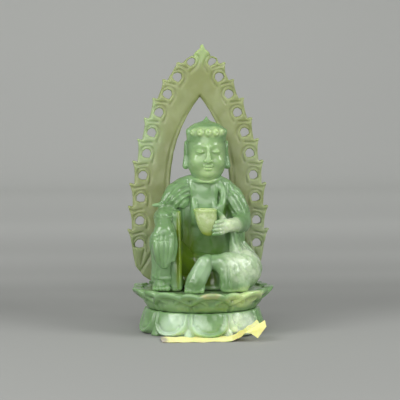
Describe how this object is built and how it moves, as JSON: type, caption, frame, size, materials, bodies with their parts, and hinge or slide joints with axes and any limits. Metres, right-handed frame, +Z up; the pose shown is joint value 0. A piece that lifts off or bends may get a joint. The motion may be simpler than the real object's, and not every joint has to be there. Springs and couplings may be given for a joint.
{
  "type": "carved jade figurine",
  "caption": "Seated robed figure with an alms bowl on a two-tier lotus pedestal, in front of a pierced flame mandorla that lifts out of its slot.",
  "frame": {"origin": "middle of the pedestal's flat underside, on the surface that it stands on", "axes": "+Z up along the height, -Y the way the figure faces, +X towards the figure's left hand"},
  "size_m": [0.0994, 0.0925, 0.198],
  "materials": {
    "jade": "polished, translucent green, waxy",
    "pale_jade": "polished, translucent pale yellow-green",
    "olive_jade": "satin, translucent olive green",
    "label_paper": "matte, creased",
    "bamboo": "bare"
  },
  "bodies": {
    "figurine": {"lotus_foot": "jade", "lotus_seat": "jade", "head": "jade", "left_hand": "jade", "right_hand": "jade", "right_foot": "jade", "left_foot": "jade", "right_sleeve": "jade", "right_arm": "jade", "left_arm": "jade", "left_sleeve": "jade", "right_leg": "jade", "left_leg": "jade", "torso": "jade", "robe_lap": "jade", "alms_bowl": "pale_jade", "paper_label": "label_paper", "seat_dowel": "bamboo", "figure_dowel": "bamboo"},
    "mandorla": {"mandorla": "olive_jade"}
  },
  "joints": [
    {"name": "mandorla_lift", "type": "slide", "parent": "figurine", "child": "mandorla", "axis": [0, 0, 1], "range_m": [0, 0.016]}
  ]
}
